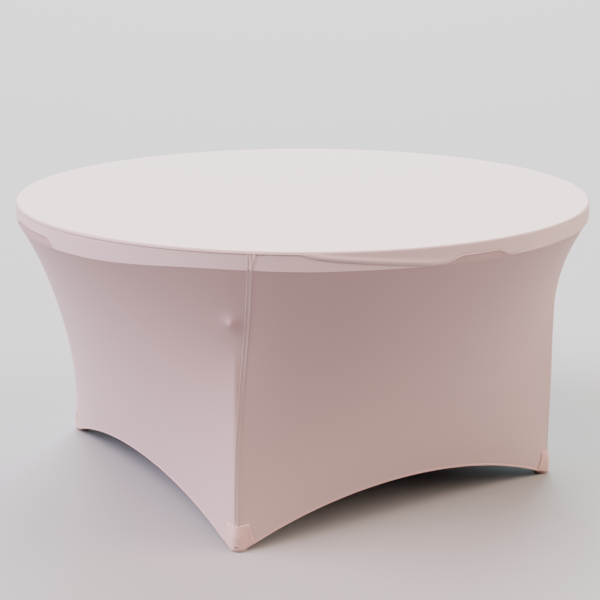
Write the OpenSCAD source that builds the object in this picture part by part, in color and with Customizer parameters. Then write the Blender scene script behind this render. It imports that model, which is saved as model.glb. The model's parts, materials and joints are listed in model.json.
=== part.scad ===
// Round folding banquet table in a fitted stretch cover.
// +Z is up and the origin is on the floor under the table's centre.
// The leg frames' hinge tubes run along X. Frame A stands at -Y and frame B at +Y.

/* [Table] */
// Diameter over the cloth
table_d = 1524; // [1515:1:1530]
// Height over the cloth
table_h = 750; // [746:1:754]
// Depth of the rim, from the top face to its lower edge
rim_depth = 46; // [44:1:48]

/* [Leg frames] */
// Distance between the two posts of one frame
post_span = 942; // [936:1:948]
// Distance between the two frames
frame_span = 961; // [955:1:967]
// Diameter of the post and hinge tubes
post_d = 25.4; // [24:0.1:26]
// Diameter of the lower crossbar
bar_d = 22; // [20:0.5:23]
// Height of the lower crossbar above the floor
bar_z = 560; // [550:1:566]
// Diameter of the foot caps
foot_d = 38; // [34:1:40]
// Wall of every tube
tube_wall = 1.5; // [1.2:0.1:2]

/* [Cover] */
// Thickness of the stretch cloth
cloth_t = 1; // [0.8:0.1:1.2]
// Height of the arched hem above the floor, halfway between two feet
arch_h = 93; // [70:1:120]
// How far the middle of the hem stands out past the line of the posts
hem_bow = 35; // [20:1:50]
// Height up to which the cloth lies against the posts
cling_z = 450; // [400:5:480]

/* [Hidden] */

gap = 0.4;                                  // between the cloth and what it lies against
fit = 0.06;                                 // radial play of a running fit
px = post_span / 2;
py = frame_span / 2;
post_r = post_d / 2;
bar_r = bar_d / 2;
foot_r = foot_d / 2;
cover_r = table_d / 2;
top_r = cover_r - cloth_t - gap;            // outer radius of the tabletop itself
top_z = table_h - cloth_t - gap;
rim_z = table_h - rim_depth;                // lower edge of the rim
edge_round = 5;

// The tabletop is moulded hollow, as two skins joined by ring-shaped walls.
skin_t = 2.8;
panel_t = 25;
rim_w = 19;
split_r = top_r - rim_w - 2;                // where the panel meets the rim
under_z = top_z - panel_t;                  // underside of the panel
rings = 6;
ring_wall = 3;

// Steel rails under the panel, and the leg frames' hinge heights.
rail_h = 10;
rail_w = 30;
rail_x = 360;
rail_len = 1040;
rail_z = under_z - rail_h;
web_t = 1.5;                                // the channel's web, which the screws go through
flange_t = 2;
hinge_za = rail_z - 14;                     // frame A hinges close under the rails
hinge_zb = hinge_za - 32;                   // frame B folds up under frame A
strap_w = 30;
strap_r = post_r + 4;
strap_plate_l = 64;
strap_plate_t = 3;
rail_screw_y = [for (k = [-3 : 2 : 3]) k * 130];
strap_screw_y = 25;
screw_r = 2;
screw_play = 0.1;

// The feet stand in the cover's pockets.
sole_t = 0.8;                               // the pocket's floor
foot_z = sole_t + 0.3;
foot_h = 34;
foot_sole = 5;
bar_out = 5;                                // the crossbar's ends stand out past the posts
cap_t = 4;

// Folding braces: each has a short upper link on the table and a long lower link on the crossbar.
// The two links lie in line when the frame stands, and over each other when it is folded.
brace_reach = 360;                          // from the hinge tube to the brace's upper pivot
fold_a = 90;                                // how far each frame folds
fold_b = 86;
pin_r = 4;
link_h = 16;
link_t = 4;
link_gap = 0.4;                             // between the upper link's plates and the lower link
plate_x = link_t + link_gap;                // middle of each plate of the upper link
bracket_t = 3;
ear_x = plate_x + link_t / 2 + 1 + bracket_t / 2;
collar_r = bar_r + 5;
collar_w = 14;
rivet_r = 5;
rivet_t = 0.8;
function drop(hinge_z) = hinge_z - bar_z;
function open_len(hinge_z) = norm([brace_reach, drop(hinge_z)]);
function shut_len(hinge_z, fold) =
    norm([brace_reach - drop(hinge_z) * sin(fold), drop(hinge_z) * cos(fold)]);
function upper_len(hinge_z, fold) = (open_len(hinge_z) - shut_len(hinge_z, fold)) / 2;
function lower_len(hinge_z, fold) = (open_len(hinge_z) + shut_len(hinge_z, fold)) / 2;
function brace_tilt(hinge_z) = atan2(drop(hinge_z), brace_reach);

// Pocket around each foot: a cup that narrows up to the post.
pocket_t = 1.2;
pocket_r = foot_r + 0.5 + pocket_t;
pocket_straight = 38;
pocket_h = 72;
pocket_neck_r = post_r + gap + pocket_t;

// The cover's top seam.
seam_z = table_h - 7;
seam_h = 2.4;
seam_out = 0.8;

// The skirt's grid. Near a corner the cloth wraps round the post.
corner_u = 0.03;                            // share of a panel's width that wraps round a post
seam_u = 0.004;                             // half of a corner seam's width
u_steps = 36;
v_steps = 12;
hem_v = 0.975;                              // the hem starts here
hem_start_z = 8;
flare_power = 2.2;
hem_extra = 0.4;                            // the hem is this much thicker on each face
band_z = seam_z - seam_h;                   // the rim band reaches up to the top seam
rows = [for (k = [0 : v_steps]) hem_v * k / v_steps];
columns = concat(
    [seam_u, corner_u / 2],
    [for (k = [0 : u_steps]) corner_u + (1 - 2 * corner_u) * k / u_steps],
    [1 - corner_u / 2, 1 - seam_u]);

// The skirt as a surface. A panel spans two posts at (-a, -b) and (a, -b) in its own turned frame.
// u runs along the panel and v from the rim to the hem. out moves the surface outwards.
function corner_angle(a, b) = atan2(b, a);
function rim_point(a, b, u, out, z) =
    let (c = corner_angle(a, b), t = -180 + c + u * (180 - 2 * c), r = cover_r + out)
    [r * cos(t), r * sin(t), z];
function wrap_point(a, b, share, z, out) =  // share 0 is the diagonal, 1 faces the panel
    let (c = corner_angle(a, b), t = -180 + c + share * (90 - c), r = post_r + gap + cloth_t + out)
    [-a + r * cos(t), -b + r * sin(t), z];
function mirror_x(p) = [-p.x, p.y, p.z];
function hem_curve(a, b, u, out) =
    u > 0.5 ? mirror_x(hem_curve(a, b, 1 - u, out))
    : u < corner_u ? wrap_point(a, b, u / corner_u, hem_start_z, out)
    : let (s = (u - corner_u) / (1 - 2 * corner_u), lift = 4 * s * (1 - s), p = wrap_point(a, b, 1, 0, out))
        [-a + 2 * a * s, p.y - hem_bow * lift, hem_start_z + (arch_h - hem_start_z) * lift];
function corner_curve(a, b, v, out) =
    let (z = rim_z + v * (hem_start_z - rim_z),
        t = max(0, (z - cling_z) / (rim_z - cling_z)),
        near = norm([a, b]) + post_r + gap + cloth_t,
        r = near + (cover_r - near) * pow(t, flare_power) + out,
        c = corner_angle(a, b))
    [-r * cos(c), -r * sin(c), z];
function skirt_point(a, b, u, v, out) =
    let (t0 = rim_point(a, b, 0, out, rim_z), t1 = mirror_x(t0),
        b0 = hem_curve(a, b, 0, out), b1 = mirror_x(b0),
        c0 = corner_curve(a, b, v, out), c1 = mirror_x(c0))
    (1 - v) * rim_point(a, b, u, out, rim_z) + v * hem_curve(a, b, u, out)
        + (1 - u) * c0 + u * c1
        - (1 - v) * ((1 - u) * t0 + u * t1) - v * ((1 - u) * b0 + u * b1);
function turned(p, angle) =
    [p.x * cos(angle) - p.y * sin(angle), p.x * sin(angle) + p.y * cos(angle), p.z];

// turn is 0 for the front panel and 90 for the right one. Quarter turns swap the two spans.
function panel_a(turn) = turn % 180 == 0 ? px : py;
function panel_b(turn) = turn % 180 == 0 ? py : px;

// A thin solid between two grids of points, each given as rows from top to bottom.
module sheet_solid(outer, inner) {
    m = len(outer);
    n = len(outer[0]);
    function id(i, j, side) = side * m * n + i * n + j;
    function two(a, b, c, d) = [[a, b, c], [a, c, d]];
    faces = concat(
        [for (i = [0 : m - 2]) for (j = [0 : n - 2]) for (f = two(
            id(i, j, 0), id(i, j + 1, 0), id(i + 1, j + 1, 0), id(i + 1, j, 0))) f],
        [for (i = [0 : m - 2]) for (j = [0 : n - 2]) for (f = two(
            id(i, j, 1), id(i + 1, j, 1), id(i + 1, j + 1, 1), id(i, j + 1, 1))) f],
        [for (j = [0 : n - 2]) for (f = two(
            id(0, j, 0), id(0, j, 1), id(0, j + 1, 1), id(0, j + 1, 0))) f],
        [for (j = [0 : n - 2]) for (f = two(
            id(m - 1, j, 0), id(m - 1, j + 1, 0), id(m - 1, j + 1, 1), id(m - 1, j, 1))) f],
        [for (i = [0 : m - 2]) for (f = two(
            id(i, 0, 0), id(i + 1, 0, 0), id(i + 1, 0, 1), id(i, 0, 1))) f],
        [for (i = [0 : m - 2]) for (f = two(
            id(i, n - 1, 0), id(i, n - 1, 1), id(i + 1, n - 1, 1), id(i + 1, n - 1, 0))) f]);
    polyhedron(
        points = concat([for (row = outer) for (p = row) p], [for (row = inner) for (p = row) p]),
        faces = faces, convexity = 6);
}

module rod_x(r, length) {
    rotate([0, 90, 0]) cylinder(h = length, r = r, center = true, $fn = 48);
}

module screw(shank) {
    translate([0, 0, -1.6]) cylinder(h = 1.6, r1 = 3.5, r2 = 4.5, $fn = 24);
    cylinder(h = shank, r = screw_r, $fn = 24);
}

// Tabletop and the steel under it.

// The panel and the rim are one moulding, drawn as two nodes that meet at split_r.
module tabletop() {
    pitch = (split_r - ring_wall) / rings;
    color("whitesmoke") difference() {
        rotate_extrude($fn = 180) difference() {
            translate([0, under_z]) square([split_r, panel_t]);
            for (k = [0 : rings - 1])
                translate([k * pitch + ring_wall, under_z + skin_t])
                    square([pitch - ring_wall, panel_t - 2 * skin_t]);
        }
        at_rail_screws() translate([0, 0, rail_z])
            cylinder(h = rail_h + 2 * skin_t, r = screw_r + screw_play, $fn = 24);
    }
}

module tabletop_rim() {
    color("whitesmoke") rotate_extrude($fn = 180) difference() {
        polygon([
            [split_r, under_z], [top_r - rim_w, rim_z],
            [top_r - 3, rim_z], [top_r, rim_z + 3], [top_r, top_z - edge_round],
            for (t = [15 : 15 : 75])
                [top_r - edge_round * (1 - cos(t)), top_z - edge_round * (1 - sin(t))],
            [top_r - edge_round, top_z], [split_r, top_z]]);
        translate([top_r - rim_w + skin_t, rim_z + skin_t])
            square([rim_w - 2 * skin_t - 3, rim_depth - 2 * skin_t - edge_round]);
    }
}

module at_rail_screws() {
    for (side = [-1, 1]) for (y = rail_screw_y) translate([side * rail_x, y, 0]) children();
}

module at_strap_screws() {
    for (x = [-rail_x, rail_x]) for (y = [-py, py]) for (k = [-1, 1])
        translate([x, y + k * strap_screw_y, 0]) children();
}

// A channel along Y, open at the top.
module channel(length) {
    difference() {
        translate([-rail_w / 2, -length / 2, 0]) cube([rail_w, length, rail_h]);
        translate([-rail_w / 2 + flange_t, -length / 2 - 1, web_t])
            cube([rail_w - 2 * flange_t, length + 2, rail_h]);
    }
}

module rails() {
    color("dimgray") difference() {
        for (side = [-1, 1]) translate([side * rail_x, 0, rail_z]) channel(rail_len);
        at_rail_screws() translate([0, 0, rail_z - 1]) cylinder(h = 4, r = screw_r + screw_play, $fn = 24);
        at_strap_screws() translate([0, 0, rail_z - 1]) cylinder(h = 4, r = screw_r + screw_play, $fn = 24);
    }
}

module brace_beams() {
    color("dimgray") for (side = [-1, 1])
        translate([0, side * (py - brace_reach), rail_z]) rotate([0, 0, 90]) channel(2 * rail_x - rail_w);
}

module rail_screws() {
    color("silver") at_rail_screws() translate([0, 0, rail_z]) screw(rail_h + skin_t + 6);
}

module strap_screws() {
    color("silver") at_strap_screws() translate([0, 0, rail_z - strap_plate_t]) screw(strap_plate_t + web_t + 3);
}

module hinge_strap(hinge_z) {
    plate_z = rail_z - hinge_z;
    difference() {
        union() {
            rod_x(strap_r, strap_w);
            translate([-strap_w / 2, -strap_r, 0]) cube([strap_w, 2 * strap_r, plate_z]);
            translate([-strap_w / 2, -strap_plate_l / 2, plate_z - strap_plate_t])
                cube([strap_w, strap_plate_l, strap_plate_t]);
        }
        rod_x(post_r + fit, strap_w + 2);
        translate([-strap_w, -strap_plate_l, plate_z]) cube([2 * strap_w, 2 * strap_plate_l, 2 * strap_r]);
        for (y = [-strap_screw_y, strap_screw_y])
            translate([0, y, plate_z - 2 * strap_plate_t])
                cylinder(h = 3 * strap_plate_t, r = screw_r + screw_play, $fn = 24);
    }
}

module hinge_straps(hinge_z, side) {
    color("dimgray") for (x = [-rail_x, rail_x])
        translate([x, side * py, hinge_z]) hinge_strap(hinge_z);
}

// Two ears, with a hole each for the rivets that the brace's upper link turns on.
module brace_bracket(hinge_z, side) {
    color("dimgray") translate([0, side * (py - brace_reach), hinge_z]) for (x = [-ear_x, ear_x])
        translate([x, 0, 0]) difference() {
            union() {
                rod_x(9, bracket_t);
                translate([-bracket_t / 2, -9, 0]) cube([bracket_t, 18, rail_z - hinge_z]);
            }
            rod_x(pin_r, 2 * bracket_t);
        }
}

// Each rivet holds one plate of the upper link to one ear, and leaves the middle free.
module pivot_rivets(hinge_z, side) {
    inner_x = plate_x - link_t / 2;
    outer_x = ear_x + bracket_t / 2;
    color("silver") translate([0, side * (py - brace_reach), hinge_z]) for (end = [-1, 1]) {
        translate([end * (inner_x + outer_x) / 2, 0, 0]) rod_x(pin_r, outer_x - inner_x);
        translate([end * (outer_x + 0.75), 0, 0]) rod_x(6, 1.5);
    }
}

// Leg frames. side is -1 for frame A and 1 for frame B.

module hinge_tube(hinge_z, side) {
    color("silver") translate([0, side * py, hinge_z]) difference() {
        rod_x(post_r, post_span);
        rod_x(post_r - tube_wall, post_span + 1);
        for (x = [-px, px]) translate([x, 0, -40]) cylinder(h = 80, r = post_r, $fn = 48);
    }
}

module post(hinge_z, side, x) {
    low = foot_z + foot_sole;
    inner_r = post_r - tube_wall;
    color("silver") difference() {
        union() {
            translate([x, side * py, low]) cylinder(h = hinge_z - low, r = post_r, $fn = 48);
            translate([x, side * py, hinge_z]) sphere(r = post_r, $fn = 48);
        }
        translate([x, side * py, low - 1]) cylinder(h = hinge_z - low - post_r, r = inner_r, $fn = 48);
        translate([0, side * py, bar_z]) rod_x(bar_r, post_span + 4 * post_r);
    }
}

module crossbar(side) {
    length = post_span + 2 * (post_r + bar_out);
    color("silver") translate([0, side * py, bar_z]) difference() {
        rod_x(bar_r, length);
        rod_x(bar_r - tube_wall, length + 1);
    }
}

// Domed plugs in the ends of the crossbar.
module bar_caps(side) {
    cap_x = px + post_r + bar_out;
    color("black") for (end = [-1, 1]) translate([end * cap_x, side * py, bar_z])
        rotate([0, end * 90, 0]) {
            rotate_extrude($fn = 48) polygon([
                [0, 0], [bar_r, 0], [bar_r, cap_t - 2], [bar_r - 2, cap_t], [0, cap_t]]);
            translate([0, 0, -8]) cylinder(h = 8, r = bar_r - tube_wall, $fn = 48);
        }
}

module foot(side, x) {
    color("black") translate([x, side * py, foot_z]) difference() {
        rotate_extrude($fn = 48) polygon([
            [0, 0], [foot_r - 2, 0], [foot_r, 2], [foot_r, foot_h - 8], [post_r + 2, foot_h], [0, foot_h]]);
        translate([0, 0, foot_sole]) cylinder(h = foot_h, r = post_r, $fn = 48);
    }
}

// Braces, drawn locked straight. They lie in the plane X = 0, from the bracket down to the crossbar.

module link_plate(length, thick) {
    rod_x(link_h / 2, thick);
    translate([0, length, 0]) rod_x(link_h / 2, thick);
    translate([-thick / 2, 0, -link_h / 2]) cube([thick, length, link_h]);
}

// Moves what it holds to the upper pivot, and turns it so that +Y runs down the upper link.
module at_upper_link(hinge_z, side) {
    translate([0, side * (py - brace_reach), hinge_z])
        rotate([side > 0 ? -brace_tilt(hinge_z) : 180 + brace_tilt(hinge_z), 0, 0]) children();
}

module brace_upper(hinge_z, side, fold) {
    color("silver") at_upper_link(hinge_z, side) difference() {
        for (x = [-plate_x, plate_x]) translate([x, 0, 0]) link_plate(upper_len(hinge_z, fold), link_t);
        rod_x(pin_r + fit, 4 * link_t);
    }
}

// Flat heads on the outside of the upper link's two plates.
module elbow_rivets(hinge_z, side, fold) {
    color("dimgray") at_upper_link(hinge_z, side) for (end = [-1, 1])
        translate([end * (plate_x + link_t / 2 + rivet_t / 2), upper_len(hinge_z, fold), 0])
            rod_x(rivet_r, rivet_t);
}

module brace_lower(hinge_z, side, fold) {
    color("silver") translate([0, side * py, bar_z])
        rotate([side > 0 ? 180 - brace_tilt(hinge_z) : brace_tilt(hinge_z), 0, 0]) difference() {
            union() {
                link_plate(lower_len(hinge_z, fold), link_t);
                rod_x(collar_r, collar_w);
            }
            rod_x(bar_r + fit, 2 * collar_w);
        }
}

// Cover.

module cover_top() {
    color("mistyrose") rotate_extrude($fn = 180) difference() {
        polygon([
            [0, seam_z], [cover_r, seam_z], [cover_r, table_h - edge_round],
            for (t = [15 : 15 : 75])
                [cover_r - edge_round * (1 - cos(t)), table_h - edge_round * (1 - sin(t))],
            [cover_r - edge_round, table_h], [0, table_h]]);
        polygon([
            [0, seam_z - 1], [cover_r - cloth_t, seam_z - 1], [cover_r - cloth_t, table_h - edge_round],
            for (t = [15 : 15 : 75]) [
                cover_r - edge_round + (edge_round - cloth_t) * cos(t),
                table_h - edge_round + (edge_round - cloth_t) * sin(t)],
            [cover_r - edge_round, table_h - cloth_t], [0, table_h - cloth_t]]);
    }
}

module rim_seam() {
    color("rosybrown") translate([0, 0, band_z]) difference() {
        cylinder(h = seam_h, r = cover_r + seam_out, $fn = 180);
        translate([0, 0, -1]) cylinder(h = seam_h + 2, r = cover_r - cloth_t, $fn = 180);
    }
}

module pocket_outline() {
    rotate_extrude($fn = 48) polygon([
        [0, 0], [pocket_r - 1, 0], [pocket_r, 1], [pocket_r, pocket_straight],
        [pocket_neck_r, pocket_h], [0, pocket_h]]);
}

module pocket(x, y) {
    inner_r = pocket_r - pocket_t;
    color("pink") translate([x, y, 0]) difference() {
        pocket_outline();
        rotate_extrude($fn = 48) polygon([
            [0, sole_t], [inner_r, sole_t], [inner_r, pocket_straight - pocket_t],
            [post_r + gap, pocket_h - pocket_t], [post_r + gap, pocket_h + 1], [0, pocket_h + 1]]);
    }
}

module clear_of_pockets() {
    difference() {
        children();
        for (x = [-px, px]) for (y = [-py, py]) translate([x, y, 0]) pocket_outline();
    }
}

// The rim band and the flared panel below it, in one piece of cloth.
module skirt(turn) {
    a = panel_a(turn);
    b = panel_b(turn);
    function grid(out) = concat(
        [[for (u = columns) turned(rim_point(a, b, u, out, band_z), turn)]],
        [for (v = rows) [for (u = columns) turned(skirt_point(a, b, u, v, out), turn)]]);
    color("mistyrose") clear_of_pockets() sheet_solid(grid(0), grid(-cloth_t));
}

module hem(turn) {
    a = panel_a(turn);
    b = panel_b(turn);
    function grid(out) = [for (v = [hem_v, (1 + hem_v) / 2, 1])
        [for (u = columns) turned(skirt_point(a, b, u, v, out), turn)]];
    color("pink") clear_of_pockets() sheet_solid(grid(hem_extra), grid(-cloth_t - hem_extra));
}

// The seam at the left corner of the panel that faces turn.
module corner_seam(turn) {
    a = panel_a(turn);
    b = panel_b(turn);
    ridge = 0.7;
    function band_across(out, lift) = [
        turned(rim_point(b, a, 1 - seam_u, out, band_z), turn - 90),
        turned(rim_point(a, b, 0, out + lift, band_z), turn),
        turned(rim_point(a, b, seam_u, out, band_z), turn)];
    function across(v, out, lift) = [
        turned(skirt_point(b, a, 1 - seam_u, v, out), turn - 90),
        turned(corner_curve(a, b, v, out + lift), turn),
        turned(skirt_point(a, b, seam_u, v, out), turn)];
    function grid(out, lift) = concat([band_across(out, lift)], [for (v = rows) across(v, out, lift)]);
    color("rosybrown") clear_of_pockets() sheet_solid(grid(0, ridge), grid(-cloth_t, 0));
}

tabletop();
tabletop_rim();
rails();
brace_beams();
rail_screws();
hinge_straps(hinge_za, -1);  // hinge_straps_a
hinge_straps(hinge_zb, 1);  // hinge_straps_b
strap_screws();
brace_bracket(hinge_za, -1);  // brace_bracket_a
brace_bracket(hinge_zb, 1);  // brace_bracket_b
pivot_rivets(hinge_za, -1);  // pivot_rivets_a
pivot_rivets(hinge_zb, 1);  // pivot_rivets_b
hinge_tube(hinge_za, -1);  // hinge_tube_a
post(hinge_za, -1, -px);  // post_a_left
post(hinge_za, -1, px);  // post_a_right
crossbar(-1);  // crossbar_a
bar_caps(-1);  // bar_caps_a
foot(-1, -px);  // foot_a_left
foot(-1, px);  // foot_a_right
hinge_tube(hinge_zb, 1);  // hinge_tube_b
post(hinge_zb, 1, -px);  // post_b_left
post(hinge_zb, 1, px);  // post_b_right
crossbar(1);  // crossbar_b
bar_caps(1);  // bar_caps_b
foot(1, -px);  // foot_b_left
foot(1, px);  // foot_b_right
brace_upper(hinge_za, -1, fold_a);  // brace_a_upper
elbow_rivets(hinge_za, -1, fold_a);  // elbow_rivets_a
brace_lower(hinge_za, -1, fold_a);  // brace_a_lower
brace_upper(hinge_zb, 1, fold_b);  // brace_b_upper
elbow_rivets(hinge_zb, 1, fold_b);  // elbow_rivets_b
brace_lower(hinge_zb, 1, fold_b);  // brace_b_lower
cover_top();
rim_seam();
skirt(0);  // skirt_front
skirt(90);  // skirt_right
skirt(180);  // skirt_back
skirt(270);  // skirt_left
hem(0);  // hem_front
hem(90);  // hem_right
hem(180);  // hem_back
hem(270);  // hem_left
corner_seam(0);  // seam_front_left
corner_seam(90);  // seam_front_right
corner_seam(180);  // seam_back_right
corner_seam(270);  // seam_back_left
pocket(-px, -py);  // pocket_front_left
pocket(px, -py);  // pocket_front_right
pocket(px, py);  // pocket_back_right
pocket(-px, py);  // pocket_back_left
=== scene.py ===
import json
import math

import bpy
import numpy as np
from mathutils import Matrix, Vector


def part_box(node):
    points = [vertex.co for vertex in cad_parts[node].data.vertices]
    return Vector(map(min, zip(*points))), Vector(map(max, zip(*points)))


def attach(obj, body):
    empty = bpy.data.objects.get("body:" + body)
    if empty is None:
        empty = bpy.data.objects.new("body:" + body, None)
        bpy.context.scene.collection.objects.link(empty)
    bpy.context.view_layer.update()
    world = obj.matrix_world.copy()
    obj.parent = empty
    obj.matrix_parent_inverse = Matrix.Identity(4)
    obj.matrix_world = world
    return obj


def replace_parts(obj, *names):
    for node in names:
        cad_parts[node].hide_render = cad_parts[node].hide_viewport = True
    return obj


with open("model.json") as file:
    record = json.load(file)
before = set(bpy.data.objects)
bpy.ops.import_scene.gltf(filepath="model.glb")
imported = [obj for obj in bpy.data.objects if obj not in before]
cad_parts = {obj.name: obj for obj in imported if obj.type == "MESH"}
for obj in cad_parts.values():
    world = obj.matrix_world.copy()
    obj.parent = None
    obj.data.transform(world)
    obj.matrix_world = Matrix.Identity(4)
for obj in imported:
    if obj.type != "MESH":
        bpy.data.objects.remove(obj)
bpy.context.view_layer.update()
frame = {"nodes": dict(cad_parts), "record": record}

# The cover's own names for its four panels and corners, counter-clockwise from the front. Seen from
# outside, a panel's corner of the same number is the one at its left.
PANELS = ["front", "right", "back", "left"]
CORNERS = ["front_left", "front_right", "back_right", "back_left"]

# Places and sizes from the CAD frame, in metres.
cover_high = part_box("cover_top")[1]
post_low, post_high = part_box("post_a_left")
foot_low, foot_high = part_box("foot_a_left")
bar_low, bar_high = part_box("crossbar_a")
COVER_R = cover_high.x
TOP_Z = cover_high.z
RIM_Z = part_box("tabletop_rim")[0].z
POST_R = (post_high.x - post_low.x) / 2
POST_X = -(post_high.x + post_low.x) / 2
POST_Y = -(post_high.y + post_low.y) / 2
FOOT_R = (foot_high.x - foot_low.x) / 2
BAR_R = (bar_high.z - bar_low.z) / 2
BAR_Z = (bar_high.z + bar_low.z) / 2
CAP_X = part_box("bar_caps_a")[1].x

# The stretch cloth.
CLOTH = 0.0008
EDGE_ROUND = 0.005                  # rounding of the top's edge
SEAM_Z = TOP_Z - EDGE_ROUND - CLOTH
PIPING_R = 0.0012
HEM_Z = 0.003
SKIRT_INSET = 0.0006                # the skirt starts this far inside the cover's radius
TWIST = math.radians(4.4)           # the cover sits turned by this much on the legs
SEAM_SHIFT_POWER = 2.2              # how fast the corner seams come back to the posts, going down
CORNER_SHARE = 0.03                 # share of a panel's width that wraps round a foot
ACROSS = [1.1, 0.95, 0.3, 0.13]     # tension across the panels at each corner, against 1 down them
HEM_PULL = 1.0                      # tension of the hem's elastic edge
PANEL_W = 1.0                       # a panel's rough width and height, for the pull in the cloth
PANEL_H = 0.64

# The grid of points of the cover's side.
columns = 128
rows = 76
sweeps = 1700
total = 4 * columns
BAND_ROWS = 6                       # of the rim band
APRON_ROWS = 4                      # of the short turn under the fold, down to the skirt's first row
GENTLE_SWEEPS = 30
LONG_STEP = 1.9                     # each later sweep moves a point this many times its way to balance

# The fold under the rim band, by the angle round the table in degrees. The front is at -90, the left
# at 180. Spans are (start, end, length of the rise, length of the fall).
FOLD_UP = 0.0022                    # the fold lies this far above the rim's lower edge
FOLD_STEP = 0.0003                  # and the cloth turns in this far below it
FOLD_SAG = 0.011                    # on the left the cloth has slipped down
SAG_SPAN = (158, 222, 22, 22)
FRONT_HOOK = 0.0165                 # the fold is hooked up over the rim at two places
FRONT_HOOK_SPAN = (-96.4, -82.4, 2.8, 3.6)
LEFT_HOOK = 0.0235
LEFT_HOOK_SPAN = (164, 188, 8, 2.5)
LIP = 0.0012                        # the band stands out this far at the fold
HOOK_LIP = 0.0024                   # and this much more where it is hooked up

# The seam round the top has slipped down to the fold in front. Going round from the left, it drops
# fast at first and then evenly. Angles are in degrees, as above.
SLIP_START = -121.5
SLIP_END = -96
RETURN_START = -84
RETURN_END = -66
FAST_SHARE = 0.2
FAST_REACH = 0.06
FADED_SPAN = (-99, -61, 4, 5)       # where the seam fades into the fold

# The short pleats in the band above the front corner: how far each stands out, its two ends as
# (distance past the corner seam, height), and its width.
PLEATS = [
    (0.0024, (0.014, 0.748), (0.001, 0.700), 0.0032),
    (0.0018, (-0.002, 0.748), (0.004, 0.724), 0.0026),
    (0.0012, (0.024, 0.741), (0.024, 0.749), 0.0024),
    (0.0018, (0.047, 0.738), (0.056, 0.749), 0.0026),
    (0.0018, (0.057, 0.736), (0.065, 0.747), 0.0026),
]

# A small tent in the left panel, near the front corner.
BUMP_Z = 0.572
BUMP_SIDE = 0.036                   # how far along the cloth it is from the corner seam
BUMP_H = 0.020
BUMP_ROUND = 0.002
BUMP_REACH = 0.0115

# The foot pockets.
POCKET_TOP_Z = 0.066
POCKET_LOW_Z = 0.006
POCKET_TOP_HALF = 0.031             # half of the patch's width at its top and at its foot
POCKET_LOW_HALF = 0.052
CUP_Z = 0.036
TUCK_Z = 0.0128                     # height of the tuck at the pocket's tip, darkened with painted shade
TUCK_DEEP = 0.0031


def smooth(t):
    """A smooth step, from 0 at t = 0 to 1 at t = 1."""
    t = np.clip(t, 0, 1)
    return t * t * (3 - 2 * t)


def between(value, start, end, rise, fall):
    """1 between start and end, and 0 outside them, with a smooth rise and a smooth fall inside."""
    return smooth((value - start) / rise) * smooth((end - value) / fall)


def bell(t):
    return np.exp(-np.square(t))


def unit(v):
    return v / np.maximum(np.linalg.norm(v, axis=-1, keepdims=True), 1e-12)


def crowded(steps, weight):
    """Shares from 0 to 1, in steps that are smaller where weight is larger."""
    place = np.linspace(0, 1, 4001)
    density = weight(place)
    sum_so_far = np.concatenate([[0], np.cumsum((density[1:] + density[:-1]) / 2)])
    return np.interp(np.arange(steps + 1) / steps, sum_so_far / sum_so_far[-1], place)


def column_weight(u):
    """Columns crowd towards the corner seams."""
    reach = 0.045
    return 1 + 7 * (bell(u / reach) + bell((1 - u) / reach))


def row_weight(v):
    """Rows crowd towards the fold, the hem and the bump."""
    at_bump = (RIM_Z - BUMP_Z) / (RIM_Z - HEM_Z)
    return 1 + 3 * bell(v / 0.06) + 3 * bell((1 - v) / 0.05) + 5 * bell((v - at_bump) / 0.035)


def distance_along(line):
    """Each point's distance along a line of points, from its first one."""
    return np.concatenate([[0], np.cumsum(np.linalg.norm(np.diff(line, axis=0), axis=1))])


def at_distance(distances, length, values):
    """The vectors in values, which are length along a line, at these distances along it."""
    return np.stack([np.interp(distances, length, values[:, k]) for k in range(3)], -1)


def circle(steps):
    return 2 * np.pi * np.arange(steps) / steps


# Angles of the rim, one per column of the skirt. Column 0 of a panel is the corner seam at its left.
corner_turn = math.atan2(POST_Y, POST_X)
corner_angles = [-math.pi + corner_turn, -corner_turn, corner_turn,
                 math.pi - corner_turn, math.pi + corner_turn]
facing = [-math.pi / 2, 0, math.pi / 2, math.pi]
posts = np.array([[-POST_X, -POST_Y], [POST_X, -POST_Y], [POST_X, POST_Y], [-POST_X, POST_Y]])
share = crowded(columns, column_weight)[:-1]
share_step = np.diff(np.append(share, 1.0))
rim_angle = TWIST + np.concatenate([
    corner_angles[p] + share * (corner_angles[p + 1] - corner_angles[p]) for p in range(4)])
rim_degrees = np.degrees(rim_angle + np.pi) % 360 - 180


def rim_rings(radius, height):
    """Points round the table's axis, one per column, at these radii and heights."""
    radius, height, _ = np.broadcast_arrays(radius, height, rim_angle)
    return np.stack([radius * np.cos(rim_angle), radius * np.sin(rim_angle), height], -1)


def rim_sag(degrees):
    """How far the fold has slipped down below the rim, on the left."""
    return FOLD_SAG * between(degrees % 360, *SAG_SPAN)


def crease_height(degrees):
    """Height of the sharp fold at the foot of the rim band, and how far it is hooked up, 0 to 1."""
    front_hook = between(degrees, *FRONT_HOOK_SPAN)
    left_hook = between(degrees % 360, *LEFT_HOOK_SPAN)
    wander = 0.0006 * np.sin(np.radians(degrees) * 7) + 0.0005 * np.sin(np.radians(degrees) * 16 + 1)
    height = RIM_Z + FOLD_UP + wander - rim_sag(degrees) + FRONT_HOOK * front_hook + LEFT_HOOK * left_hook
    return height, np.maximum(front_hook, left_hook)


def top_seam_height(degrees):
    """Height of the seam round the top, and how far it has slipped down to the fold, 0 to 1."""
    slip = np.clip((degrees - SLIP_START) / (SLIP_END - SLIP_START), 0, 1)
    back = smooth((degrees - RETURN_START) / (RETURN_END - RETURN_START))
    slipped = (FAST_SHARE * (1 - np.exp(-slip / FAST_REACH)) + (1 - FAST_SHARE) * slip) * (1 - back)
    fold = crease_height(degrees)[0] + PIPING_R
    return np.maximum(SEAM_Z - (SEAM_Z - RIM_Z) * slipped, fold), slipped


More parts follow.
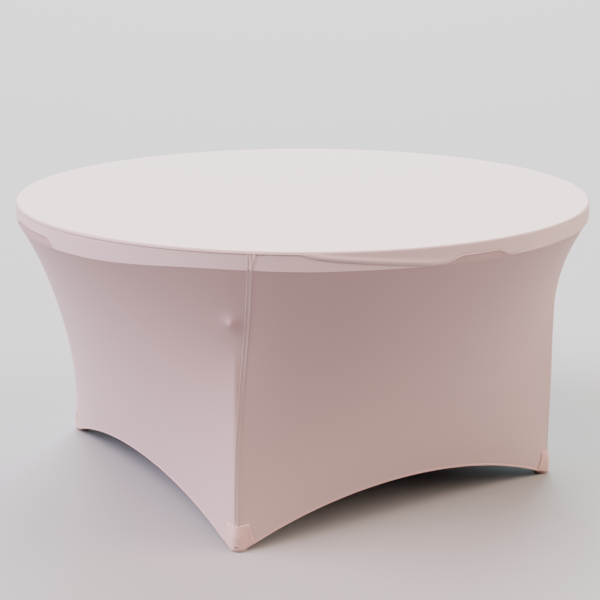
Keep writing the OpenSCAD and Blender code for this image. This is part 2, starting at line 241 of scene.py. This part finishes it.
crease_z, hooked = crease_height(rim_degrees)
seam_z, slipped = top_seam_height(rim_degrees)


def hem_start():
    """The skirt's lowest row at the start, and which of its points are held at the feet."""
    line = np.zeros((total, 3))
    held = np.zeros(total, bool)
    wrap_r = FOOT_R + 0.0024
    turn_past = 0.12
    arch_out = 0.03
    arch_up = 0.09
    for p in range(4):
        for i in range(columns):
            k = p * columns + i
            if share[i] <= CORNER_SHARE:
                corner, wrap, start, lean = p, share[i] / CORNER_SHARE, corner_angles[p], turn_past
            elif 1 - share[i] <= CORNER_SHARE:
                corner, wrap = (p + 1) % 4, (1 - share[i]) / CORNER_SHARE
                start, lean = corner_angles[p + 1], -turn_past
            else:
                continue
            angle = start + wrap * (facing[p] + lean - start)
            line[k] = [posts[corner][0] + wrap_r * math.cos(angle),
                       posts[corner][1] + wrap_r * math.sin(angle), HEM_Z]
            held[k] = True
    for p in range(4):
        loose = [p * columns + i for i in range(columns) if not held[p * columns + i]]
        first = line[loose[0] - 1].copy()
        last = line[(loose[-1] + 1) % total].copy()
        outward = np.array([math.cos(facing[p]), math.sin(facing[p]), 0])
        for k in loose:
            along = (share[k - p * columns] - CORNER_SHARE) / (1 - 2 * CORNER_SHARE)
            lift = 4 * along * (1 - along)
            line[k] = first + (last - first) * along + outward * arch_out * lift
            line[k, 2] += arch_up * lift
    return line, held


def pushed_out(points, corner_post):
    """Moves points out of the posts, the feet and the rounded ends of the crossbars."""
    z = points[..., 2]
    post_clear = POST_R + 0.001 + CLOTH
    post_from_z = 0.07
    post_top_z = RIM_Z - 0.044
    radius = np.interp(z, [0, CUP_Z, post_from_z], [FOOT_R + 0.0025, FOOT_R + 0.002, post_clear])
    radius = np.where(z > post_top_z, 0, radius)
    off = points[..., :2] - corner_post
    far = np.linalg.norm(off, axis=-1)
    scale = np.where(far < radius, radius / np.maximum(far, 1e-6), 1.0)
    points[..., :2] = corner_post + off * scale[..., None]
    cap_round = 0.003
    core_r = BAR_R - cap_round
    reach = 0.0046
    x = np.clip(np.abs(points[..., 0]), POST_X - 0.02, CAP_X - cap_round) * np.sign(points[..., 0])
    dy = points[..., 1] - corner_post[..., 1]
    dz = z - BAR_Z
    inside = np.minimum(1, core_r / np.maximum(np.hypot(dy, dz), 1e-9))
    core = np.stack([x, corner_post[..., 1] + dy * inside, BAR_Z + dz * inside], -1)
    away = points - core
    far = np.linalg.norm(away, axis=-1)
    hit = (far < reach) & (np.abs(points[..., 0]) > POST_X - 0.001)
    scale = np.where(hit, reach / np.maximum(far, 1e-7), 1.0)
    points[...] = core + away * scale[..., None]


def stretched_skirt():
    """The skirt as a membrane pulled between the rim and the feet, over the posts and bar ends."""
    down = crowded(rows, row_weight)
    down_step = np.diff(down)
    across_step = np.tile(share_step, 4)
    top = rim_rings(COVER_R - SKIRT_INSET, RIM_Z + SKIRT_INSET - rim_sag(rim_degrees))
    bottom, held = hem_start()
    grid = top[None] * (1 - down[:, None, None]) + bottom[None] * down[:, None, None]
    row_share = np.zeros(rows + 1)
    row_share[:-1] += down_step / 2
    row_share[1:] += down_step / 2
    column_share = (across_step + np.roll(across_step, 1)) / 2
    tension = np.concatenate([
        ACROSS[p] + (ACROSS[(p + 1) % 4] - ACROSS[p]) * smooth(share) for p in range(4)])
    pull = PANEL_H / PANEL_W * row_share[:, None] * tension[None]
    pull[rows] += HEM_PULL
    right = pull / across_step[None]
    left = np.roll(right, 1, 1)
    above = np.zeros((rows + 1, total))
    below = np.zeros((rows + 1, total))
    above[1:] = PANEL_W / PANEL_H * column_share[None] / down_step[:, None]
    below[:-1] = above[1:]
    free = np.ones((rows + 1, total), bool)
    free[0] = False
    free[rows, held] = False
    odd = np.add.outer(np.arange(rows + 1), np.arange(total)) % 2 == 1
    colours = [(free & ~odd)[..., None], (free & odd)[..., None]]
    every = (left + right + above + below)[..., None]
    left, right, above, below = [w[..., None] for w in (left, right, above, below)]
    panel = np.repeat(np.arange(4), columns)
    nearest = np.where(np.tile(share, 4) < 0.5, panel, (panel + 1) % 4)
    corner_post = np.repeat(posts[nearest][None], rows + 1, 0)
    shift = COVER_R * math.sin(TWIST) * np.clip(1 - down[1:rows], 0, 1) ** SEAM_SHIFT_POWER
    over = np.zeros_like(grid)
    under = np.zeros_like(grid)
    for sweep in range(sweeps):
        step = 1.0 if sweep < GENTLE_SWEEPS else LONG_STEP
        for colour in colours:
            over[1:] = grid[:-1]
            under[:-1] = grid[1:]
            mean = left * np.roll(grid, 1, 1) + right * np.roll(grid, -1, 1)
            mean = (mean + above * over + below * under) / every
            grid = np.where(colour, grid + step * (mean - grid), grid)
            for p in range(4):
                sideways = np.array([-math.sin(corner_angles[p]), math.cos(corner_angles[p])])
                seam = grid[1:rows, p * columns, :2]
                seam += np.outer(shift - seam @ sideways, sideways)
        pushed_out(grid, corner_post)
        grid[0] = top
        grid[rows, held] = bottom[held]
    return grid


def ridge(along, height, start, end, width):
    """A soft ridge on the rim band, from start to end, as (distance past the corner seam, height)."""
    a = np.array(start)
    d = np.array(end) - a
    t = np.clip(((along - a[0]) * d[0] + (height - a[1]) * d[1]) / (d @ d), 0, 1)
    far = np.hypot(along - a[0] - t * d[0], height - a[1] - t * d[1])
    return bell(far / width)


def pleats(z):
    """How far the short pleats stand out, at these heights, for every column."""
    along = (rim_angle - rim_angle[0]) * COVER_R
    along = np.where(along > math.pi * COVER_R, along - 2 * math.pi * COVER_R, along)
    return sum(size * ridge(along, z, start, end, width) for size, start, end, width in PLEATS)


def cover_wall(skirt):
    """The whole side of the cover: the rim band, the turn under its fold, and the skirt."""
    lip = LIP + HOOK_LIP * hooked
    t = np.arange(BAND_ROWS + 1)[:, None] / BAND_ROWS
    band_z = seam_z * (1 - t) + crease_z * t
    band_r = COVER_R + lip * t + pleats(band_z)
    t = (np.arange(1, APRON_ROWS)[:, None] / APRON_ROWS) ** 2
    apron_z = (crease_z - FOLD_STEP) * (1 - t) + skirt[0, :, 2] * t
    apron_r = COVER_R - SKIRT_INSET + lip * (1 - t) ** 6
    return np.concatenate([rim_rings(band_r, band_z), rim_rings(apron_r, apron_z), skirt])


def grid_normals(grid, closed=True):
    """Outward unit normals of a grid of points whose columns run counter-clockwise and rows downwards."""
    if closed:
        along = np.roll(grid, -1, 1) - np.roll(grid, 1, 1)
    else:
        along = np.gradient(grid, axis=1)
    down = np.gradient(grid, axis=0)
    return unit(np.cross(unit(down), unit(along)))


def add_bump(wall_grid):
    """Pushes out a small tent in the left panel, close to the front corner."""
    first = BAND_ROWS + APRON_ROWS
    corner = wall_grid[first:, 0]
    row = first + int(np.argmin(np.abs(corner[:, 2] - BUMP_Z)))
    near = [(total - j) % total for j in range(columns // 2)]
    line = wall_grid[row, near]
    centre = at_distance(BUMP_SIDE, distance_along(line), line)
    far = np.linalg.norm(wall_grid - centre, axis=-1)
    lift = BUMP_H * np.exp(-np.hypot(far, BUMP_ROUND) / BUMP_REACH)
    wall_grid += grid_normals(wall_grid) * lift[..., None]


def add_mesh(name, points, faces, material):
    mesh = bpy.data.meshes.new(name)
    mesh.from_pydata([tuple(map(float, p)) for p in points], [], [tuple(map(int, f)) for f in faces])
    mesh.validate()
    mesh.update()
    mesh.materials.append(material)
    mesh.polygons.foreach_set("use_smooth", [True] * len(mesh.polygons))
    obj = bpy.data.objects.new(name, mesh)
    bpy.context.scene.collection.objects.link(obj)
    return obj


def set_painted_shade(obj, values):
    """Stores how far painted shade darkens each point's colour, from 0 to 1."""
    shade = obj.data.attributes.new("shade", "FLOAT", "POINT")
    shade.data.foreach_set("value", values)


def grid_faces(tall, broad, wrap=False, first=0):
    """Quads of a grid of points, tall by broad, facing outwards."""
    faces = []
    for i in range(tall - 1):
        here = first + i * broad
        below = here + broad
        for j in range(broad if wrap else broad - 1):
            k = (j + 1) % broad
            faces.append((here + j, below + j, below + k, here + k))
    return faces


def tube_faces(rings, around):
    """Faces of a tube with a closed cap at each end."""
    faces = grid_faces(rings, around, wrap=True)
    faces.append(tuple(range(around)))
    faces.append(tuple((rings - 1) * around + j for j in reversed(range(around))))
    return faces


def thicken(obj):
    """Gives a sheet the cloth's thickness, inwards."""
    solid = obj.modifiers.new("thickness", "SOLIDIFY")
    solid.thickness = CLOTH
    solid.offset = -1.0
    return obj


# Materials. Every one is procedural.

def new_material(name):
    material = bpy.data.materials.new(name)
    material.use_nodes = True
    nodes = material.node_tree.nodes
    nodes.clear()
    out = nodes.new("ShaderNodeOutputMaterial")
    shader = nodes.new("ShaderNodeBsdfPrincipled")
    material.node_tree.links.new(shader.outputs["BSDF"], out.inputs["Surface"])
    return material, nodes, material.node_tree.links, shader


def object_noise(nodes, links, scale, detail):
    place = nodes.new("ShaderNodeTexCoord")
    noise = nodes.new("ShaderNodeTexNoise")
    noise.inputs["Scale"].default_value = scale
    noise.inputs["Detail"].default_value = detail
    noise.inputs["Roughness"].default_value = 0.5
    links.new(place.outputs["Object"], noise.inputs["Vector"])
    return noise


def tinted(nodes, links, noise, low, high):
    ramp = nodes.new("ShaderNodeValToRGB")
    ramp.color_ramp.elements[0].position = 0.35
    ramp.color_ramp.elements[1].position = 0.65
    ramp.color_ramp.elements[0].color = (*low, 1)
    ramp.color_ramp.elements[1].color = (*high, 1)
    links.new(noise.outputs["Fac"], ramp.inputs["Fac"])
    return ramp


def bumped(nodes, links, noise, shader, distance, strength):
    bump = nodes.new("ShaderNodeBump")
    bump.inputs["Distance"].default_value = distance
    bump.inputs["Strength"].default_value = strength
    links.new(noise.outputs["Fac"], bump.inputs["Height"])
    links.new(bump.outputs["Normal"], shader.inputs["Normal"])


def surface(name, low, high, roughness, scale, detail, distance, strength, metallic=0.0, sheen=0.0):
    """A material whose colour wanders between low and high, with a fine bump."""
    material, nodes, links, shader = new_material(name)
    noise = object_noise(nodes, links, scale, detail)
    ramp = tinted(nodes, links, noise, low, high)
    links.new(ramp.outputs["Color"], shader.inputs["Base Color"])
    shader.inputs["Roughness"].default_value = roughness
    shader.inputs["Metallic"].default_value = metallic
    shader.inputs["Sheen Weight"].default_value = sheen
    shader.inputs["Sheen Roughness"].default_value = 0.4
    bumped(nodes, links, noise, shader, distance, strength)
    return material


def scaled(colour, factor):
    return tuple(c * factor for c in colour)


def fabric(name, colour, darkest, lightest, **look):
    """A cloth or thread whose colour wanders between these two shares of it."""
    return surface(name, scaled(colour, darkest), scaled(colour, lightest), **look)


def paint_shade(material, tint):
    """Paints shade into a material: multiplies its colour by a darker tint, as far as the mesh's painted
    shade value says.
    """
    nodes = material.node_tree.nodes
    links = material.node_tree.links
    colour = next(link for link in links if link.to_socket.name == "Base Color")
    source, base = colour.from_socket, colour.to_socket
    shade = nodes.new("ShaderNodeAttribute")
    shade.attribute_name = "shade"
    mix = nodes.new("ShaderNodeMixRGB")
    mix.blend_type = "MULTIPLY"
    mix.inputs["Color2"].default_value = (*tint, 1)
    links.new(shade.outputs["Fac"], mix.inputs["Fac"])
    links.new(source, mix.inputs["Color1"])
    links.new(mix.outputs["Color"], base)


cloth = fabric("stretch_cloth", (0.50, 0.36, 0.345), 0.985, 1.015,
               roughness=0.72, scale=900, detail=2, distance=0.00012, strength=0.35, sheen=0.12)
# Painted shade: the hanging skirt is darkened, most just under the rim.
paint_shade(cloth, (0.75, 0.675, 0.66))
hem_cloth = fabric("hem_cloth", (0.55, 0.36, 0.33), 0.95, 1.04,
                   roughness=0.75, scale=500, detail=3, distance=0.0002, strength=0.5)
thread = fabric("seam_thread", (0.45, 0.315, 0.30), 0.9, 1.05,
                roughness=0.7, scale=700, detail=3, distance=0.0003, strength=0.6)
pocket_cloth = fabric("pocket_cloth", (0.57, 0.37, 0.33), 0.95, 1.04,
                      roughness=0.75, scale=420, detail=3, distance=0.0003, strength=0.5)
# Painted shade: the tuck at each pocket's tip is darkened almost to black.
paint_shade(pocket_cloth, (0.10, 0.05, 0.06))
cad_looks = {
    "table_plastic": surface(
        "pebbled_plastic", (0.60, 0.60, 0.58), (0.68, 0.68, 0.66),
        roughness=0.55, scale=420, detail=4, distance=0.0004, strength=0.6),
    "frame_steel": surface(
        "grey_powder_coat", (0.115, 0.12, 0.13), (0.145, 0.15, 0.16),
        roughness=0.45, scale=900, detail=2, distance=0.0001, strength=0.5),
    "link_steel": surface(
        "zinc_plate", (0.50, 0.51, 0.52), (0.62, 0.63, 0.64),
        roughness=0.32, scale=160, detail=5, distance=0.00005, strength=0.4, metallic=1.0),
    "rivet_steel": surface(
        "bright_zinc", (0.58, 0.58, 0.59), (0.70, 0.70, 0.71),
        roughness=0.28, scale=260, detail=4, distance=0.00005, strength=0.4, metallic=1.0),
    "foot_plastic": surface(
        "black_plastic", (0.012, 0.012, 0.013), (0.022, 0.022, 0.023),
        roughness=0.5, scale=600, detail=3, distance=0.0001, strength=0.5),
}
slot_of = {part["node"]: part["material_slot"] for part in frame["record"]["subparts"]}
for node_name, node in frame["nodes"].items():
    if slot_of[node_name] in cad_looks:
        node.data.materials.clear()
        node.data.materials.append(cad_looks[slot_of[node_name]])


# The skirt's panels.

wall = cover_wall(stretched_skirt())
add_bump(wall)
wall_normal = grid_normals(wall)
wall_rows = len(wall)


def panel_index(panel):
    return [(panel * columns + j) % total for j in range(columns + 1)]


def skirt_panel(panel):
    """One panel of the skirt, with its part of the rim band and a sharp fold under the band."""
    picked = wall[:, panel_index(panel)]
    obj = add_mesh("skirt_cloth_" + PANELS[panel], picked.reshape(-1, 3),
                   grid_faces(wall_rows, columns + 1), cloth)
    sharp = obj.data.attributes.new("sharp_edge", "BOOLEAN", "EDGE")
    width = columns + 1
    fold = range(BAND_ROWS * width, (BAND_ROWS + 1) * width)
    flags = [edge.vertices[0] in fold and edge.vertices[1] in fold for edge in obj.data.edges]
    sharp.data.foreach_set("value", flags)
    # Painted shade: the hanging cloth's colour is darkened, most just under the rim and least at the hem.
    # The band keeps the plain colour.
    painted_rim_shade = np.clip(picked[..., 2] / RIM_Z, 0, 1)
    painted_rim_shade[:BAND_ROWS + 1] = 0
    set_painted_shade(obj, painted_rim_shade.ravel())
    return thicken(obj)


def top_cloth():
    """The top panel, with its rounded edge and the side that reaches down to the seam."""
    flat_rings = [0.12, 0.3, 0.48, 0.62, 0.70, 0.74, 0.752]
    bend = np.radians([0, 18, 36, 54, 72, 90])
    side_rows = 12
    rings = [rim_rings(r, TOP_Z) for r in flat_rings]
    rings += [rim_rings(COVER_R - EDGE_ROUND * (1 - math.sin(t)), TOP_Z - EDGE_ROUND * (1 - math.cos(t)))
              for t in bend]
    side_top = TOP_Z - EDGE_ROUND
    # Where the seam has slipped, the cloth stands out a little and rolls just above the seam.
    flap = smooth((side_top - seam_z) / 0.012) * (1 - smooth((rim_degrees + 100) / 8))
    roll_z = seam_z + 0.0055
    for k in range(1, side_rows + 1):
        t = k / side_rows
        z = side_top + (seam_z - side_top) * t
        roll = flap * (0.0016 * t ** 2 + 0.0024 * bell((z - roll_z) / 0.0045))
        rings.append(rim_rings(COVER_R + roll + t * pleats(z), z))
    points = np.concatenate([np.array([[0, 0, TOP_Z]]), *rings])
    faces = [(0, 1 + j, 1 + (j + 1) % total) for j in range(total)]
    faces += grid_faces(len(rings), total, wrap=True, first=1)
    return thicken(add_mesh("top_cloth", points, faces, cloth))


def top_piping():
    """The seam round the top, which fades into the fold where it has slipped down to it."""
    around = 8
    tall = 1.2
    faded = between(rim_degrees, *FADED_SPAN)
    thick = PIPING_R - 0.0008 * faded
    out_r = COVER_R + 0.0005 - 0.0024 * faded + 0.0014 * slipped * (1 - faded) + pleats(seam_z)
    rings = [rim_rings(out_r + thick * math.cos(t), seam_z + tall * thick * math.sin(t))
             for t in circle(around)]
    points = np.stack(rings, 1).reshape(-1, 3)
    faces = []
    for j in range(total):
        here = j * around
        ahead = (j + 1) % total * around
        for k in range(around):
            above = (k + 1) % around
            faces.append((here + k, ahead + k, ahead + above, here + above))
    return add_mesh("top_piping", points, faces, thread)


# Round the feet, points of the wall are found by distance along a row from the corner seam.

def row_at(corner, height):
    """The wall's row, with a fraction, whose point on the corner seam has this height."""
    z = wall[BAND_ROWS + APRON_ROWS:, corner * columns, 2]
    return BAND_ROWS + APRON_ROWS + np.interp(-height, -z, np.arange(len(z)))


def along_row(corner, row, distances):
    """Points and normals of the wall at these distances from the corner seam, along one row."""
    reach = columns // 3
    index = [(corner * columns + j) % total for j in range(-reach, reach + 1)]
    i = min(int(row), wall_rows - 2)
    t = row - i
    line = wall[i, index] * (1 - t) + wall[i + 1, index] * t
    normal = wall_normal[i, index] * (1 - t) + wall_normal[i + 1, index] * t
    length = distance_along(line)
    length -= length[reach]
    return at_distance(distances, length, line), unit(at_distance(distances, length, normal))


def corner_seam(corner):
    """An overlocked double ridge down the corner, from the top seam to the hem."""
    distance = np.array([-0.0066, -0.0060, -0.0046, -0.0032, 0, 0.0032, 0.0046, 0.0060, 0.0066])
    height = np.array([-0.0004, 0.0003, 0.0015, 0.0004, 0.0003, 0.0004, 0.0015, 0.0003, -0.0004])
    points = []
    for i in range(wall_rows - 1):
        place, out = along_row(corner, i, distance)
        points += list(place + out * height[:, None])
    return add_mesh("corner_seam_" + CORNERS[corner], points, tube_faces(wall_rows - 1, len(distance)),
                    thread)


def hem_roll(panel):
    """The rolled hem along a panel's lower edge, between two foot pockets."""
    index = panel_index(panel)
    line = wall[-1, index]
    up = unit(wall[-2, index] - line)
    out = wall_normal[-1, index]
    length = distance_along(line)
    tuck = POCKET_LOW_HALF - 0.008
    keep = [j for j in range(len(index)) if tuck < length[j] < length[-1] - tuck]
    around = 10
    centre_up = 0.0021
    centre_in = 0.0002
    half_high = 0.0030
    half_thick = 0.0014
    points = []
    for j in keep:
        for t in circle(around):
            points.append(line[j] + up[j] * (centre_up + half_high * math.cos(t))
                          - out[j] * half_thick * math.sin(t) - out[j] * centre_in)
    return add_mesh("hem_roll_" + PANELS[panel], points, tube_faces(len(keep), around),
                    hem_cloth)


def pocket_patch(corner):
    """The points of the patch over a corner as a grid, and the painted shade that darkens the tuck at
    each of them.
    """
    wide = 30
    high = 36
    tuck_share = (POCKET_TOP_Z - TUCK_Z) / (POCKET_TOP_Z - POCKET_LOW_Z)
    patch = []
    shade = []
    for t in crowded(high, lambda down: 1 + 5 * bell((down - tuck_share) / 0.08)):
        z = POCKET_TOP_Z * (1 - t) + POCKET_LOW_Z * t
        half = POCKET_TOP_HALF + (POCKET_LOW_HALF - POCKET_TOP_HALF) * t ** 1.3
        distance = half * np.arange(-wide, wide + 1) / wide
        place, out = along_row(corner, row_at(corner, z), distance)
        # A fold up the patch's right side, and a tuck near its tip, sunk in and darkened with painted
        # shade.
        fold = 0.0022 * bell((distance - half + 0.002) / 0.004) * (1 - smooth((t - 0.35) / 0.4))
        tuck = bell((distance - 0.001) / 0.0034) * bell((z - TUCK_Z) / 0.0020)
        shade += list(np.clip(1.7 * tuck, 0, 1))
        # Fine gathers and two rows of stitching above the floor.
        gather = 0.0004 * np.sin(distance * 1300) * bell((z - 0.010) / 0.008)
        stitch_rows = bell((z - 0.0105) / 0.0012) + bell((z - 0.0155) / 0.0012)
        stitching = 0.0007 * stitch_rows * bell(distance / 0.03)
        lift = 0.0014 + 0.0005 * np.sin(math.pi * t) + fold - TUCK_DEEP * tuck + gather + stitching
        # The patch's sides and top are sewn down on the skirt.
        free = smooth((half - np.abs(distance)) / 0.003) * smooth(t / 0.055)
        lift = lift * free + 0.0001 * (1 - free)
        patch.append(place + out * lift[:, None])
    # The lowest row turns in under the foot.
    under = patch[-1].copy()
    under[:, :2] = posts[corner] + (under[:, :2] - posts[corner]) * 0.94
    under[:, 2] -= 0.0015
    return np.array([*patch, under]), shade + [0.0] * len(under)


def closed_sheet(patch, thickness):
    """Points and faces of a grid of points with its inner side and its edges."""
    inner = patch - grid_normals(patch, closed=False) * thickness
    tall, broad = patch.shape[:2]
    count = tall * broad
    faces = grid_faces(tall, broad)
    faces += [tuple(count + v for v in reversed(face)) for face in faces]
    edge = list(range(broad)) + [i * broad + broad - 1 for i in range(1, tall)]
    edge += [(tall - 1) * broad + j for j in range(broad - 2, -1, -1)]
    edge += [i * broad for i in range(tall - 2, 0, -1)]
    for a, b in zip(edge, edge[1:] + edge[:1]):
        faces.append((a, b, count + b, count + a))
    return list(patch.reshape(-1, 3)) + list(inner.reshape(-1, 3)), faces


def pocket_cup(centre, first):
    """Points and faces of the cup that a foot stands in. Its points are numbered from first."""
    around = 40
    profile = [(FOOT_R - 0.002, 0.0), (FOOT_R + 0.0008, 0.0006), (FOOT_R + 0.0011, 0.002),
               (FOOT_R + 0.0011, CUP_Z), (FOOT_R + 0.0007, CUP_Z + 0.0006), (FOOT_R + 0.0003, CUP_Z),
               (FOOT_R + 0.0003, 0.0012)]
    points = [centre + np.array([r * math.cos(t), r * math.sin(t), z])
              for r, z in profile for t in circle(around)]
    low_centre = first + len(points)
    points += [centre, centre + np.array([0, 0, 0.0009])]
    faces = [tuple(reversed(face)) for face in grid_faces(len(profile), around, wrap=True, first=first)]
    last = first + (len(profile) - 1) * around
    for j in range(around):
        k = (j + 1) % around
        faces.append((low_centre, first + k, first + j))
        faces.append((low_centre + 1, last + j, last + k))
    return points, faces


def foot_pocket(corner):
    """A double patch over the corner, and the cup behind it that the foot stands in."""
    patch, shade = pocket_patch(corner)
    points, faces = closed_sheet(patch, 0.0010)
    cup_points, cup_faces = pocket_cup(np.array([*posts[corner], 0.0]), len(points))
    shade += [0.0] * (len(points) + len(cup_points) - len(shade))
    obj = add_mesh("foot_pocket_" + CORNERS[corner], points + cup_points, faces + cup_faces,
                   pocket_cloth)
    set_painted_shade(obj, shade)
    return obj


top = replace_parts(top_cloth(), "cover_top")
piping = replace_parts(top_piping(), "rim_seam")
skirts = [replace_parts(skirt_panel(p), "skirt_" + PANELS[p]) for p in range(4)]
hems = [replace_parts(hem_roll(p), "hem_" + PANELS[p]) for p in range(4)]
seams = [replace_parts(corner_seam(p), "seam_" + CORNERS[p]) for p in range(4)]
pockets = [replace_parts(foot_pocket(p), "pocket_" + CORNERS[p]) for p in range(4)]
for piece in [top, piping, *skirts, *hems, *seams, *pockets]:
    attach(piece, "cover")


# Floor, lights and camera.

CAMERA_PLACE = (-1.861, -3.054, 1.390)
CAMERA_TILT = 75.13                 # degrees up from looking straight down
CAMERA_TURN = -31.25                # degrees round from looking along Y
HALF_FLOOR = 60

floor_material, _, _, floor_shader = new_material("studio_floor")
floor_shader.inputs["Base Color"].default_value = (0.29, 0.285, 0.285, 1)
floor_shader.inputs["Roughness"].default_value = 0.9
floor_mesh = bpy.data.meshes.new("studio_floor")
floor_mesh.from_pydata([(-HALF_FLOOR, -HALF_FLOOR, 0), (HALF_FLOOR, -HALF_FLOOR, 0),
                        (HALF_FLOOR, HALF_FLOOR, 0), (-HALF_FLOOR, HALF_FLOOR, 0)], [], [(0, 1, 2, 3)])
floor_mesh.materials.append(floor_material)
floor = bpy.data.objects.new("studio_floor", floor_mesh)
bpy.context.scene.collection.objects.link(floor)

world = bpy.data.worlds.new("studio")
world.use_nodes = True
bpy.context.scene.world = world
world.node_tree.nodes["Background"].inputs["Color"].default_value = (1.0, 1.0, 1.0, 1)
world.node_tree.nodes["Background"].inputs["Strength"].default_value = 0.02


def add_sun(name, turn, height, light_colour):
    """A wide soft sun. turn is counted round from behind the camera, in degrees to the viewer's right."""
    light = bpy.data.lights.new(name, "SUN")
    strength = max(light_colour)
    light.energy = math.pi * strength
    light.color = scaled(light_colour, 1 / strength)
    light.angle = math.radians(50)
    obj = bpy.data.objects.new(name, light)
    bpy.context.scene.collection.objects.link(obj)
    obj.rotation_euler = (math.radians(90 - height), 0, math.radians(CAMERA_TURN + turn))


add_sun("left_light", turn=-82, height=37, light_colour=(2.28, 2.10, 2.68))
add_sun("right_light", turn=90, height=35, light_colour=(1.95, 1.56, 1.33))
add_sun("back_light", turn=180, height=35, light_colour=(2.55, 3.15, 3.32))
add_sun("front_light", turn=-60, height=65, light_colour=(1.40, 0.97, 0.77))

camera = bpy.data.cameras.new("camera")
camera.lens = 80
camera.sensor_width = 36
view = bpy.data.objects.new("camera", camera)
bpy.context.scene.collection.objects.link(view)
view.location = CAMERA_PLACE
view.rotation_euler = (math.radians(CAMERA_TILT), 0, math.radians(CAMERA_TURN))
bpy.context.scene.camera = view
